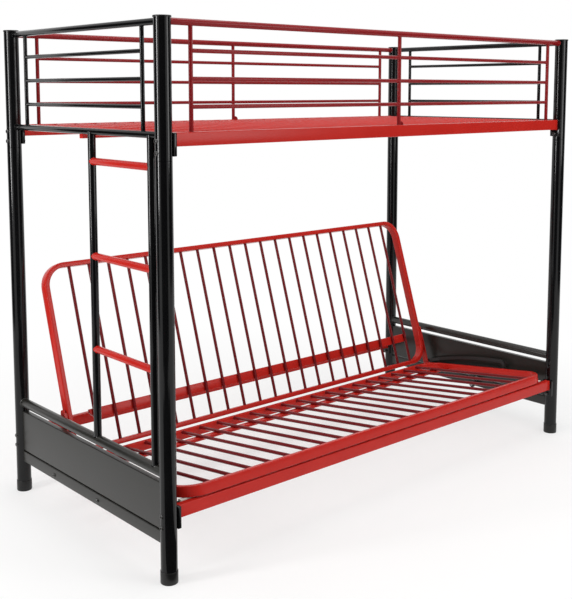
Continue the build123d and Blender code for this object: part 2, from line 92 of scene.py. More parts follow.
# %% [markdown]
# ## Node materials
# Every finish below is made of nodes. One small function adds a node, sets its
# sockets and links it to the nodes before it, so that a material reads from its
# pattern to its shader. Colours are written as they look on a screen, in hex,
# and one function turns them into the linear light that Blender counts in. A Mix
# node has a set of sockets for each kind of data, so the numbers of its colour
# sockets get names here.

# %% Helpers for finishes
scene = bpy.context.scene
FROM_COLOUR, TO_COLOUR, MIXED_COLOUR = 6, 7, 2


def add_node(tree, kind, inputs=None, **settings):
    """Add a node, set it up, and fill its inputs with values or with other nodes' outputs."""
    node = tree.nodes.new(kind)
    for name, value in settings.items():
        setattr(node, name, value)
    for name, value in (inputs or {}).items():
        if isinstance(value, bpy.types.NodeSocket):
            tree.links.new(value, node.inputs[name])
        else:
            node.inputs[name].default_value = value
    return node


def colour(hex_text):
    """Linear colour of an sRGB hex value."""
    parts = [int(hex_text[i:i + 2], 16) / 255 for i in (1, 3, 5)]
    linear = [p / 12.92 if p <= 0.04045 else ((p + 0.055) / 1.055) ** 2.4 for p in parts]
    return (*linear, 1)


def per_mm(size):
    """Texture scale that repeats a pattern once in this many millimetres."""
    return 1 / (size * MM)


def new_finish(name):
    """An empty material, its node tree, and the place that its patterns read."""
    finish = bpy.data.materials.new(name)
    finish.use_nodes = True
    tree = finish.node_tree
    tree.nodes.clear()
    return finish, tree, add_node(tree, "ShaderNodeTexCoord").outputs["Object"]


# %% [markdown]
# ## Gloss black enamel
# The posts and the ends are steel tube with a black stoving enamel, a paint that
# flows out in the oven and sets hard and shiny. It shows the studio in long
# bright lines along each tube and stays almost black between them. The colour is
# one dark tone with a faint cloud in it. The gloss wavers a little over the
# length, and a low orange peel, as paint has, bends the reflections. The bed's
# other coats are films on steel too. They differ in their two tones, their
# roughness and their grain, so one function makes them all.

# %% Make the gloss black enamel
PAINT_CLOUD = 120.0
PAINT_RELIEF = 0.2 * MM
PAINT_IOR = 1.5


def make_coat(name, tones, roughness, grain_mm, relief, specular, cloud_detail, grain_detail):
    """Coat on steel: a faint cloud in its colour and gloss, and a fine grain over it."""
    finish, tree, place = new_finish(name)
    cloud = add_node(tree, "ShaderNodeTexNoise", {
        "Vector": place, "Scale": per_mm(PAINT_CLOUD), "Detail": cloud_detail})
    tone = add_node(tree, "ShaderNodeMix", {
        "Factor": cloud.outputs["Fac"], FROM_COLOUR: colour(tones[0]), TO_COLOUR: colour(tones[1])},
        data_type="RGBA")
    gloss = add_node(tree, "ShaderNodeMapRange", {
        "Value": cloud.outputs["Fac"], "To Min": roughness[0], "To Max": roughness[1]})
    grain = add_node(tree, "ShaderNodeTexNoise", {
        "Vector": place, "Scale": per_mm(grain_mm), "Detail": grain_detail})
    bump = add_node(tree, "ShaderNodeBump", {
        "Height": grain.outputs["Fac"], "Strength": relief, "Distance": PAINT_RELIEF})
    shader = add_node(tree, "ShaderNodeBsdfPrincipled", {
        "Base Color": tone.outputs[MIXED_COLOUR], "Roughness": gloss.outputs["Result"],
        "Normal": bump.outputs["Normal"], "IOR": PAINT_IOR, "Specular IOR Level": specular})
    add_node(tree, "ShaderNodeOutputMaterial", {"Surface": shader.outputs["BSDF"]})
    return finish


gloss_black_enamel = make_coat("gloss_black_enamel", ("#070708", "#101011"), roughness=(0.07, 0.15),
                               grain_mm=4.0, relief=0.12, specular=0.3, cloud_detail=3.0, grain_detail=1.0)
print("made", gloss_black_enamel.name)

# %% [markdown]
# ## Satin black enamel
# The lower ends, with their closed panels of folded sheet, have a finer and
# flatter coat. Seen at a slant they turn dark grey, because a satin surface
# spreads the pale studio over its whole face. So this finish has a middling
# roughness and a fine grain, and its relief is weaker than that of the gloss.

# %% Make the satin black enamel
satin_black_enamel = make_coat("satin_black_enamel", ("#1a1916", "#22211d"), roughness=(0.28, 0.36),
                               grain_mm=3.0, relief=0.08, specular=0.5, cloud_detail=2.0, grain_detail=2.0)
print("made", satin_black_enamel.name)

# %% [markdown]
# ## Red powder coat
# The rails, guards, rungs, seat and back are sprayed with a dry powder that
# melts into a thick skin. It is a strong, slightly warm red, glossy but not
# sharp, and its surface has a fine orange peel all over. The real peel is about
# a millimetre wide. It is drawn a little coarser here, so that it still shows.
# The guards and the thin slats of the seat and the back take darker copies of
# the same red, painted shade that stands in for the shade on thin bars, the
# slats darker still, so three coats share one set of numbers.

# %% Make the red powder coats
POWDER = {"roughness": (0.2, 0.3), "grain_mm": 2.5, "relief": 0.15, "specular": 0.2,
          "cloud_detail": 3.0, "grain_detail": 2.0}
red_powder_coat = make_coat("red_powder_coat", ("#b01e17", "#c0271e"), **POWDER)
# painted shade: the guards get a darker copy of the red, for the shade on thin bars
guard_red_with_painted_shade = make_coat("guard_red_with_painted_shade", ("#7c1217", "#8a181b"), **POWDER)
# painted shade: the slats get a darker copy still, for the shade on thin slats
slat_red_with_painted_shade = make_coat("slat_red_with_painted_shade", ("#641116", "#721619"), **POWDER)
print("made", red_powder_coat.name, guard_red_with_painted_shade.name, slat_red_with_painted_shade.name)

# %% [markdown]
# ## Moulded polypropylene
# Caps close the tops of the posts and shoe their feet. They are moulded in black
# polypropylene, a soft, slightly waxy plastic. The mould leaves a fine spark
# grain, so light spreads on it and it has no bright line like the enamel's.

# %% Make the polypropylene
MOULD_GRAIN = 2.0
MOULD_RELIEF = 0.3 * MM


def make_moulded_polypropylene():
    """Black moulded plastic with a fine spark grain."""
    finish, tree, place = new_finish("moulded_polypropylene")
    grain = add_node(tree, "ShaderNodeTexVoronoi", {"Vector": place, "Scale": per_mm(MOULD_GRAIN)})
    tone = add_node(tree, "ShaderNodeMix", {
        "Factor": grain.outputs["Distance"], FROM_COLOUR: colour("#121211"), TO_COLOUR: colour("#0c0c0b")},
        data_type="RGBA")
    gloss = add_node(tree, "ShaderNodeMapRange", {
        "Value": grain.outputs["Distance"], "To Min": 0.34, "To Max": 0.46})
    bump = add_node(tree, "ShaderNodeBump", {
        "Height": grain.outputs["Distance"], "Strength": 0.2, "Distance": MOULD_RELIEF})
    shader = add_node(tree, "ShaderNodeBsdfPrincipled", {
        "Base Color": tone.outputs[MIXED_COLOUR], "Roughness": gloss.outputs["Result"],
        "Normal": bump.outputs["Normal"], "IOR": 1.49, "Specular IOR Level": 0.4})
    add_node(tree, "ShaderNodeOutputMaterial", {"Surface": shader.outputs["BSDF"]})
    return finish


moulded_polypropylene = make_moulded_polypropylene()
print("made", moulded_polypropylene.name)

# %% [markdown]
# ## Zinc-plated steel
# The hidden pins, spacers and nuts are plated with bright zinc, which is a grey
# metal with a cool tint and small cloudy crystals. It is a full metal, so its
# colour is the colour of its reflections, and only the roughness changes from
# crystal to crystal.

# %% Make the zinc plate
ZINC_CRYSTAL = 3.0


def make_bright_zinc_plate():
    """Bright zinc on steel: cool grey metal with cloudy crystals."""
    finish, tree, place = new_finish("bright_zinc_plate")
    crystal = add_node(tree, "ShaderNodeTexVoronoi", {"Vector": place, "Scale": per_mm(ZINC_CRYSTAL)})
    tone = add_node(tree, "ShaderNodeMix", {
        "Factor": crystal.outputs["Distance"], FROM_COLOUR: colour("#a7abaf"), TO_COLOUR: colour("#bfc2c5")},
        data_type="RGBA")
    gloss = add_node(tree, "ShaderNodeMapRange", {
        "Value": crystal.outputs["Distance"], "To Min": 0.24, "To Max": 0.4})
    shader = add_node(tree, "ShaderNodeBsdfPrincipled", {
        "Base Color": tone.outputs[MIXED_COLOUR], "Roughness": gloss.outputs["Result"], "Metallic": 1.0})
    add_node(tree, "ShaderNodeOutputMaterial", {"Surface": shader.outputs["BSDF"]})
    return finish


bright_zinc_plate = make_bright_zinc_plate()
print("made", bright_zinc_plate.name)

# %% [markdown]
# ## Black-plated bolts
# The bolts through the posts and their nuts are plated in black so that they
# don't stand out. The plating is thin and slightly brown, and it lets a little
# of the steel's shine through, so it has a sharper gloss than satin paint.

# %% Make the black plating
PLATING_SPECK = 2.0


def make_black_plating():
    """Thin black plating on a steel bolt: dark, half gloss, faintly brown."""
    finish, tree, place = new_finish("black_plated_steel")
    speck = add_node(tree, "ShaderNodeTexNoise", {
        "Vector": place, "Scale": per_mm(PLATING_SPECK), "Detail": 2.0})
    tone = add_node(tree, "ShaderNodeMix", {
        "Factor": speck.outputs["Fac"], FROM_COLOUR: colour("#181716"), TO_COLOUR: colour("#262422")},
        data_type="RGBA")
    gloss = add_node(tree, "ShaderNodeMapRange", {
        "Value": speck.outputs["Fac"], "To Min": 0.22, "To Max": 0.36})
    shader = add_node(tree, "ShaderNodeBsdfPrincipled", {
        "Base Color": tone.outputs[MIXED_COLOUR], "Roughness": gloss.outputs["Result"], "IOR": 1.6,
        "Specular IOR Level": 0.7})
    add_node(tree, "ShaderNodeOutputMaterial", {"Surface": shader.outputs["BSDF"]})
    return finish


black_plated_steel = make_black_plating()
print("made", black_plated_steel.name)

# %% [markdown]
# ## Natural nylon
# The rollers and the swivel pads slide on steel, so they are nylon in its own
# milky white. Light goes a little way into it, which softens its shading, and
# the sliding faces polish with use.

# %% Make the nylon
NYLON_CLOUD = 15.0
NYLON_DEPTH = 2.0 * MM


def make_natural_nylon():
    """Milky white engineering plastic, half gloss."""
    finish, tree, place = new_finish("natural_nylon")
    cloud = add_node(tree, "ShaderNodeTexNoise", {
        "Vector": place, "Scale": per_mm(NYLON_CLOUD), "Detail": 2.0})
    tone = add_node(tree, "ShaderNodeMix", {
        "Factor": cloud.outputs["Fac"], FROM_COLOUR: colour("#dedbd0"), TO_COLOUR: colour("#ebe9e1")},
        data_type="RGBA")
    gloss = add_node(tree, "ShaderNodeMapRange", {
        "Value": cloud.outputs["Fac"], "To Min": 0.3, "To Max": 0.45})
    shader = add_node(tree, "ShaderNodeBsdfPrincipled", {
        "Base Color": tone.outputs[MIXED_COLOUR], "Roughness": gloss.outputs["Result"], "IOR": 1.53,
        "Subsurface Weight": 0.15, "Subsurface Scale": NYLON_DEPTH})
    add_node(tree, "ShaderNodeOutputMaterial", {"Surface": shader.outputs["BSDF"]})
    return finish


natural_nylon = make_natural_nylon()
print("made", natural_nylon.name)

# %% [markdown]
# ## Painted plate
# The guide plates and brackets are flat steel, cut and dip painted in black.
# Nobody looks at them, so they only get one thin coat, and it dries flatter and
# less even than the enamel of the posts.

# %% Make the painted plate
DIP_CLOUD = 30.0
DIP_RELIEF = 0.5 * MM


def make_painted_plate():
    """Thin dull black paint on cut steel plate."""
    finish, tree, place = new_finish("dip_painted_plate")
    cloud = add_node(tree, "ShaderNodeTexNoise", {
        "Vector": place, "Scale": per_mm(DIP_CLOUD), "Detail": 4.0})
    tone = add_node(tree, "ShaderNodeMix", {
        "Factor": cloud.outputs["Fac"], FROM_COLOUR: colour("#0e0e0e"), TO_COLOUR: colour("#1b1a19")},
        data_type="RGBA")
    gloss = add_node(tree, "ShaderNodeMapRange", {
        "Value": cloud.outputs["Fac"], "To Min": 0.38, "To Max": 0.6})
    bump = add_node(tree, "ShaderNodeBump", {
        "Height": cloud.outputs["Fac"], "Strength": 0.15, "Distance": DIP_RELIEF})
    shader = add_node(tree, "ShaderNodeBsdfPrincipled", {
        "Base Color": tone.outputs[MIXED_COLOUR], "Roughness": gloss.outputs["Result"],
        "Normal": bump.outputs["Normal"], "IOR": PAINT_IOR})
    add_node(tree, "ShaderNodeOutputMaterial", {"Surface": shader.outputs["BSDF"]})
    return finish


dip_painted_plate = make_painted_plate()
print("made", dip_painted_plate.name)

# %% [markdown]
# ## Turning, joining and finishing parts
# Most of the bed is round tube. A tube, a cap and a bolt head are all turned
# shapes, so one function spins an outline about the Z axis, as a lathe does, and
# rounds the rims that are asked for with a bevel. A small part is made once, at
# the origin, and then joined into its piece at each place where it is needed.

# %% Spin an outline
MERGE = 0.001
TOUCH = 0.01
RIM_STEPS = 3


def turned(outline, sides_round, rounds=None, closed=False):
    """Part made by turning (radius, height) points about Z. rounds maps point numbers to roundings."""
    part = bmesh.new()
    points = [part.verts.new((radius, 0, height)) for radius, height in outline]
    pairs = list(zip(points, points[1:]))
    if closed:
        pairs.append((points[-1], points[0]))
    edges = [part.edges.new(pair) for pair in pairs]
    bmesh.ops.spin(part, geom=points + edges, cent=(0, 0, 0), axis=(0, 0, 1), dvec=(0, 0, 0),
                   angle=2 * math.pi, steps=sides_round, use_merge=True, use_duplicate=False)
    bmesh.ops.remove_doubles(part, verts=part.verts, dist=MERGE)
    for number, rounding in (rounds or {}).items():
        radius, height = outline[number]
        rim = [edge for edge in part.edges if all(
            abs(v.co.z - height) < TOUCH and abs(v.co.xy.length - radius) < TOUCH for v in edge.verts)]
        bmesh.ops.bevel(part, geom=rim, offset=rounding, offset_type="OFFSET", segments=RIM_STEPS,
                        profile=0.5, affect="EDGES", clamp_overlap=True, material=-1)
    return part


def along(start, end):
    """Matrix that lays a part's Z axis on the line from start to end."""
    way = Vector(end) - Vector(start)
    return Matrix.Translation(start) @ way.to_track_quat("Z", "Y").to_matrix().to_4x4()


def join(piece, part, *places):
    """Add a copy of the part to the piece at every place, and let go of the part."""
    for place in places or (Matrix(),):
        copy = part.copy()
        bmesh.ops.transform(copy, matrix=place, verts=copy.verts)
        carrier = bpy.data.meshes.new("carrier")
        copy.to_mesh(carrier)
        piece.from_mesh(carrier)
        copy.free()
        bpy.data.meshes.remove(carrier)
    part.free()


# %% [markdown]
# A finished piece has its normals turned outwards before it becomes a mesh
# object. Round faces are shaded smooth, and an edge sharper than 35 degrees
# stays an edge.

# %% Turn a bmesh into a piece of the bed
SHARP = math.radians(35)


def finish_piece(piece, name, finish, body, slot, *nodes):
    """Make the object, in metres, and give it its finish, its body and the nodes it replaces."""
    bmesh.ops.recalc_face_normals(piece, faces=piece.faces)
    bmesh.ops.scale(piece, vec=(MM, MM, MM), verts=piece.verts)
    mesh = bpy.data.meshes.new(name)
    piece.to_mesh(mesh)
    piece.free()
    mesh.shade_smooth()
    mesh.set_sharp_from_angle(angle=SHARP)
    mesh.materials.append(finish)
    made = bpy.data.objects.new(name, mesh)
    scene.collection.objects.link(made)
    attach(made, body)
    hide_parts(*nodes)
    print(name, "has", len(mesh.polygons), "faces")


# %% [markdown]
# ## Posts
# Each post is a 50 mm tube in two lengths, plugged together over a sleeve just
# below the upper rails. The joint shows as a fine line right round the tube. The
# outline of the turned shape dips there by under a millimetre, which is enough
# for the light to break on it.

# %% Turn the four posts
SEAM_DEPTH = 0.7
SEAM_HALF = 0.6
POST_SIDES = 64


def make_posts():
    """One post from foot to top, with the joint of its two tubes, at each corner."""
    outline = [(0, post_foot), (post_radius, post_foot), (post_radius, post_seam - SEAM_HALF),
               (post_radius - SEAM_DEPTH, post_seam), (post_radius, post_seam + SEAM_HALF),
               (post_radius, post_top), (0, post_top)]
    for name, (sx, sy) in corners.items():
        piece = bmesh.new()
        join(piece, turned(outline, POST_SIDES), Matrix.Translation((sx * post_x, sy * post_y, 0)))
        finish_piece(piece, "post_" + name, gloss_black_enamel, "frame", "black_gloss",
                     "lower_post_" + name, "upper_post_" + name)


make_posts()

# %% [markdown]
# ## Caps
# The foot cap is a cup that the post stands in. The top cap is a plug with a rim
# that lies on the end of the tube. Both are turned shapes with rounded rims, as
# a moulding has, and the outline of the foot cap is hollow where the post goes.

# %% Turn the foot caps and the top caps
CAP_RADIUS = 26.5
CAP_SIDES = 56
FOOT_ROUND = 2.0
MOUTH_ROUND = 1.0
RIM_ROUND = 0.4
CROWN_ROUND = 1.8
foot_cap_height = span("foot_caps", Z)[1]
bed_top = span("top_caps", Z)[1]


def make_caps():
    """Foot caps and top caps of the four posts."""
    places = [Matrix.Translation((sx * post_x, sy * post_y, 0)) for sx, sy in corners.values()]
    foot = [(0, 0), (CAP_RADIUS, 0), (CAP_RADIUS, foot_cap_height), (post_radius, foot_cap_height),
            (post_radius, post_foot), (0, post_foot)]
    piece = bmesh.new()
    join(piece, turned(foot, CAP_SIDES, {1: FOOT_ROUND, 2: MOUTH_ROUND}), *places)
    finish_piece(piece, "post_foot_caps", moulded_polypropylene, "frame", "black_plastic", "foot_caps")
    top = [(0, post_top), (CAP_RADIUS, post_top), (CAP_RADIUS, bed_top), (0, bed_top)]
    piece = bmesh.new()
    join(piece, turned(top, CAP_SIDES, {1: RIM_ROUND, 2: CROWN_ROUND}), *places)
    finish_piece(piece, "post_top_caps", moulded_polypropylene, "frame", "black_plastic", "top_caps")


make_caps()

# %% [markdown]
# ## Bars and weld beads
# A bar is a turned rod with softened ends. Where it meets a bigger tube a welder
# runs a bead round it, and the bead follows the curve of the tube like a saddle.
# Here the bead is a small turned ring. Each of its points then drops onto the
# tube by as much as the tube falls away under it.

# %% Rods and the beads that join them
ROD_ROUND = 0.5
BEAD = 1.3
BEAD_POINTS = 6
BEAD_SIDES = 28


def rod(piece, start, end, radius, sides_round):
    """Add a round bar with softened ends."""
    length = (Vector(end) - Vector(start)).length
    outline = [(0, 0), (radius, 0), (radius, length), (0, length)]
    join(piece, turned(outline, sides_round, {1: ROD_ROUND, 2: ROD_ROUND}), along(start, end))


def bead(piece, foot, way, radius, across=None, tube_radius=0.0, size=BEAD):
    """Add a weld round a bar that leaves foot along way. across is the axis of the tube below it."""
    turns = [math.radians(360 / BEAD_POINTS * i) for i in range(BEAD_POINTS)]
    ring = [(radius + size * math.cos(turn), size * math.sin(turn)) for turn in turns]
    part = turned(ring, BEAD_SIDES, closed=True)
    way = Vector(way)
    start = Vector(foot) + way * tube_radius
    bmesh.ops.transform(part, matrix=along(start, start + way), verts=part.verts)
    if across:
        sideways = way.cross(Vector(across))
        for v in part.verts:
            offset = (v.co - Vector(foot)).dot(sideways)
            v.co -= way * (tube_radius - math.sqrt(max(tube_radius ** 2 - offset ** 2, 0)))
    join(piece, part)


# %% [markdown]
# ## Ends of the upper bunk
# Each end is one welded panel: a top rail and a bottom rail between the posts,
# two uprights between the rails and three bars between the uprights. It is made
# as one piece, because it is welded and painted as one.

# %% Weld the upper ends
END_RAIL, UPRIGHT, BAR = 10.0, 6.5, 6.25
END_RAIL_SIDES, BAR_SIDES = 40, 28
BAR_BEAD = 1.0
BAR_COUNT = 3
INTO_POST = 15.0
end_rail_z = middle("upper_end_left_bottom_rail", Z)
end_upright_y = span("upper_end_left_uprights", Y)[1] - UPRIGHT
bar_gap = (top_rail_z - end_rail_z) / (BAR_COUNT + 1)
bar_zs = [end_rail_z + bar_gap * (i + 1) for i in range(BAR_COUNT)]
UP = (0, 0, 1)
DOWN = (0, 0, -1)
LENGTHWISE = (1, 0, 0)
ACROSS = (0, 1, 0)


def make_upper_end(sx, name):
    """Barred end of the upper bunk."""
    piece = bmesh.new()
    x = sx * post_x
    reach = post_y - INTO_POST
    for z in (end_rail_z, top_rail_z):
        rod(piece, (x, -reach, z), (x, reach, z), END_RAIL, END_RAIL_SIDES)
        for sy in sides:
            bead(piece, (x, sy * post_y, z), (0, -sy, 0), END_RAIL, UP, post_radius)
    for sy in sides:
        y = sy * end_upright_y
        rod(piece, (x, y, end_rail_z), (x, y, top_rail_z), UPRIGHT, BAR_SIDES)
        bead(piece, (x, y, end_rail_z), UP, UPRIGHT, ACROSS, END_RAIL)
        bead(piece, (x, y, top_rail_z), DOWN, UPRIGHT, ACROSS, END_RAIL)
        for z in bar_zs:
            bead(piece, (x, y, z), (0, -sy, 0), BAR, UP, UPRIGHT, BAR_BEAD)
    for z in bar_zs:
        rod(piece, (x, -end_upright_y, z), (x, end_upright_y, z), BAR, BAR_SIDES)
    nodes = [f"upper_end_{name}_{part}" for part in ("top_rail", "bottom_rail", "uprights", "bars")]
    finish_piece(piece, "upper_end_" + name, gloss_black_enamel, "frame", "black_gloss", *nodes)


make_upper_end(-1, "left")
make_upper_end(1, "right")

# %% [markdown]
# ## Flat plates and box tubes
# A box tube is a cube stretched to size, with its long edges bevelled to the
# radius that rolling gives them. A plate is the same with a small bevel all
# round. Nothing on a real frame has a knife edge, and it is that small bevel
# which catches the light.

# %% Box tubes and plates
HARD = math.radians(50)


def block(low, high, rounding, axis=None, segments=3, soften=0.0):
    """Box part between two corners. Its edges along axis, or all of them, are rounded."""
    part = bmesh.new()
    low = Vector(low)
    high = Vector(high)
    size = high - low
    place = Matrix.Translation((low + high) / 2) @ Matrix.Diagonal((*size, 1))
    bmesh.ops.create_cube(part, size=1, matrix=place)
    edges = list(part.edges)
    if axis is not None:
        edges = [e for e in edges if abs(e.verts[0].co[axis] - e.verts[1].co[axis]) > size[axis] / 2]
    bmesh.ops.bevel(part, geom=edges, offset=rounding, offset_type="OFFSET", segments=segments, profile=0.5,
                    affect="EDGES", clamp_overlap=True, material=-1)
    if soften:
        soften_edges(part, soften)
    return part


def soften_edges(part, width, segments=2):
    """Bevel every edge where two faces meet at more than 50 degrees."""
    bmesh.ops.recalc_face_normals(part, faces=part.faces)
    hard = [e for e in part.edges if len(e.link_faces) == 2 and e.calc_face_angle() > HARD]
    bmesh.ops.bevel(part, geom=hard, offset=width, offset_type="OFFSET", segments=segments, profile=0.5,
                    affect="EDGES", clamp_overlap=True, material=-1)


# %% [markdown]
# ## Side rails
# A side rail is a 40 by 22 mm box tube with a thick plate welded on each end.
# The real plate is hollowed to sit on the round post. It could be cut with a
# boolean, but the post hides that hollow, so here the plate reaches a little way
# into the post instead. It hangs below the tube so that two bolts fit one above
# the other, and a bead runs round the tube where the two meet. The plates are
# black like the posts, so they get a piece of their own.

# %% Weld the side rails
RAIL_HEIGHT = 40.0
RAIL_HALF = 11.0
RAIL_ROUND = 3.0
RAIL_STEPS = 4
PLATE_HALF = 21.0
PLATE_DROP = 27.0
PLATE_THICK = 6.0
PLATE_REACH = 4.0
PLATE_ROUND = 3.0
PLATE_SOFT = 0.7
WELD = 1.4
WELD_LENGTH = 1.6
WELD_BELOW_TOP = 0.2
rail_end_x = post_x - post_radius - PLATE_THICK


def make_side_rail(node, sy, top):
    """Box rail with the beads at its ends, and its two end plates."""
    rail = bmesh.new()
    plates = bmesh.new()
    y = sy * post_y
    join(rail, block((-rail_end_x, y - RAIL_HALF, top - RAIL_HEIGHT), (rail_end_x, y + RAIL_HALF, top),
                     RAIL_ROUND, X, RAIL_STEPS))
    low = top - RAIL_HEIGHT - PLATE_DROP
    for sx in sides:
        turn = Matrix.Translation((sx * post_x, y, 0)) @ Matrix.Rotation(0 if sx > 0 else math.pi, 4, "Z")
        inner = -post_radius - PLATE_THICK
        plate = block((inner, -PLATE_HALF, low), (-post_radius + PLATE_REACH, PLATE_HALF, top),
                      PLATE_ROUND, X, RAIL_STEPS, PLATE_SOFT)
        join(plates, plate, turn)
        weld = block((inner - WELD_LENGTH, -RAIL_HALF - WELD, top - RAIL_HEIGHT - WELD),
                     (inner, RAIL_HALF + WELD, top - WELD_BELOW_TOP), WELD)
        join(rail, weld, turn)
    finish_piece(rail, node + "_tube", red_powder_coat, "frame", "red_coat", node)
    finish_piece(plates, node + "_plates", gloss_black_enamel, "frame", "black_gloss", node)


for level, rail_top in (("upper", upper_rail_top), ("lower", lower_rail_top)):
    make_side_rail(level + "_side_rail_front", -1, rail_top)
    make_side_rail(level + "_side_rail_back", 1, rail_top)

# %% [markdown]
# ## Guards
# A guard runs along the front and the back of the upper bunk. Its rail goes from
# post to post, and three uprights stand on the side rail with thin bars between
# them. A small rounded lug at the middle upright takes the screw that holds the
# guard down.

# %% Weld the guards
guard_upright_x = span("guard_front_uprights", X)[1] - UPRIGHT
LUG_WIDTH, LUG_HEIGHT, LUG_THICK = 22.0, 13.0, 4.0
LUG_STEPS = 6
LUG_SOFT = 0.5


def guard_lug():
    """Flat lug with one rounded corner, standing up the Z axis and along X."""
    part = bmesh.new()
    spots = ((0, 0), (LUG_WIDTH, 0), (LUG_WIDTH, LUG_HEIGHT), (0, LUG_HEIGHT))
    verts = [part.verts.new((x, -LUG_THICK / 2, z)) for x, z in spots]
    face = part.faces.new(verts)
    bmesh.ops.bevel(part, geom=[verts[2]], offset=LUG_HEIGHT - LUG_SOFT, offset_type="OFFSET",
                    segments=LUG_STEPS, profile=0.5, affect="VERTICES", clamp_overlap=True, material=-1)
    grown = bmesh.ops.extrude_face_region(part, geom=list(part.faces), use_keep_orig=True)
    moved = [v for v in grown["geom"] if isinstance(v, bmesh.types.BMVert)]
    bmesh.ops.translate(part, vec=(0, LUG_THICK, 0), verts=moved)
    soften_edges(part, LUG_SOFT)
    return part


def make_guard(sy, name):
    """Guard of the upper bunk."""
    piece = bmesh.new()
    y = sy * post_y
    reach = post_x - INTO_POST
    rod(piece, (-reach, y, top_rail_z), (reach, y, top_rail_z), END_RAIL, END_RAIL_SIDES)
    for sx in sides:
        bead(piece, (sx * post_x, y, top_rail_z), (-sx, 0, 0), END_RAIL, UP, post_radius)
    uprights = (-guard_upright_x, 0, guard_upright_x)
    for x in uprights:
        rod(piece, (x, y, upper_rail_top), (x, y, top_rail_z), UPRIGHT, BAR_SIDES)
        bead(piece, (x, y, top_rail_z), DOWN, UPRIGHT, LENGTHWISE, END_RAIL)
        bead(piece, (x, y, upper_rail_top), UP, UPRIGHT)
    for z in bar_zs:
        for left, right in zip(uprights, uprights[1:]):
            rod(piece, (left, y, z), (right, y, z), BAR, BAR_SIDES)
            bead(piece, (left, y, z), (1, 0, 0), BAR, UP, UPRIGHT, BAR_BEAD)
            bead(piece, (right, y, z), (-1, 0, 0), BAR, UP, UPRIGHT, BAR_BEAD)
    join(piece, guard_lug(), Matrix.Translation((0, y, upper_rail_top)))
    nodes = [f"guard_{name}_{part}" for part in ("top_rail", "uprights", "bars")]
    # painted shade: the darker red stands in for the shade on the thin guard bars
    finish_piece(piece, "guard_" + name, guard_red_with_painted_shade, "frame", "red_coat", *nodes)


make_guard(-1, "front")
make_guard(1, "back")

# %% [markdown]
# ## Ladder
# Two black stiles stand between the rails of the left end, and three red rungs
# are set between them. A rung is nearly as thick as a stile, so the bead where
# they meet is a deep saddle.

# %% Weld the ladder
STILE, RUNG, LOW_RAIL = 12.5, 11.5, 16.0
STILE_SIDES, RUNG_SIDES = 44, 40
RUNG_BEAD = 0.9
low_rail_z = middle("lower_end_left_top_rail", Z)
stile_ys = [span("ladder_stiles", Y)[0] + STILE, span("ladder_stiles", Y)[1] - STILE]
rung_high = span("ladder_rungs", Z)[1] - RUNG
rung_low = span("ladder_rungs", Z)[0] + RUNG
rung_zs = [rung_low, (rung_low + rung_high) / 2, rung_high]


def make_ladder():
    """Stiles and rungs on the left end."""
    piece = bmesh.new()
    x = -post_x
    for y in stile_ys:
        rod(piece, (x, y, low_rail_z + LOW_RAIL / 2), (x, y, end_rail_z), STILE, STILE_SIDES)
        bead(piece, (x, y, low_rail_z), UP, STILE, ACROSS, LOW_RAIL)
    finish_piece(piece, "ladder_stiles_tube", gloss_black_enamel, "frame", "black_gloss", "ladder_stiles")
    piece = bmesh.new()
    for z in rung_zs:
        rod(piece, (x, stile_ys[0], z), (x, stile_ys[1], z), RUNG, RUNG_SIDES)
        for y, way in zip(stile_ys, (1, -1)):
            bead(piece, (x, y, z), (0, way, 0), RUNG, UP, STILE, RUNG_BEAD)
    finish_piece(piece, "ladder_rungs_tube", red_powder_coat, "frame", "red_coat", "ladder_rungs")


make_ladder()

# %% [markdown]
# ## Ends of the lower bunk
# A thick round rail, a closed panel of folded sheet and a box rail join the
# posts at each end. The panel is the only large flat face of the bed, so its
# folded edges matter: they are round, and they catch a thin line of light.

# %% Weld the lower ends
PANEL_HALF = 10.0
PANEL_ROUND = 2.0
LOW_RAIL_SIDES = 48
LOW_RAIL_BEAD = 1.5
panel_low, panel_high = span("lower_end_left_panel", Z)
base_low, base_high = span("lower_end_left_base_rail", Z)


def make_lower_end(sx, name):
    """Round rail, closed panel and box rail of one end."""
    x = sx * post_x
    reach = post_y - INTO_POST
    piece = bmesh.new()
    rod(piece, (x, -reach, low_rail_z), (x, reach, low_rail_z), LOW_RAIL, LOW_RAIL_SIDES)
    for sy in sides:
        bead(piece, (x, sy * post_y, low_rail_z), (0, -sy, 0), LOW_RAIL, UP, post_radius,
             LOW_RAIL_BEAD)
    join(piece, block((x - RAIL_HALF, -reach, base_low), (x + RAIL_HALF, reach, base_high),
                      RAIL_ROUND, Y, RAIL_STEPS))
    nodes = [f"lower_end_{name}_top_rail", f"lower_end_{name}_base_rail"]
    finish_piece(piece, "lower_end_" + name, satin_black_enamel, "frame", "black_panel", *nodes)
    piece = bmesh.new()
    join(piece, block((x - PANEL_HALF, -reach, panel_low), (x + PANEL_HALF, reach, panel_high),
                      PANEL_ROUND, Y, RAIL_STEPS))
    finish_piece(piece, "end_panel_" + name, satin_black_enamel, "frame", "black_panel",
                 f"lower_end_{name}_panel")


make_lower_end(-1, "left")
make_lower_end(1, "right")

# %% [markdown]
# ## Slats of the upper bunk
# Round slats run from rail to rail under the mattress, with a square bar below
# them along the middle. There are many, so each one has only a few sides.

# %% Weld the upper slats
UPPER_SLAT = 6.0
UPPER_SLAT_COUNT = 23
UPPER_SLAT_BEAD = 0.8
SLAT_SIDES = 20
CENTRE_BAR = 20.0
CENTRE_BAR_PLAY = 2.0
slat_low, slat_high = span("upper_slats", X)
upper_slat_reach = (slat_high - slat_low) / 2 - UPPER_SLAT
rail_inner_y = post_y - RAIL_HALF


def evenly(reach, count):
    """Evenly spaced places from -reach to reach."""
    return [reach * (2 * i / (count - 1) - 1) for i in range(count)]


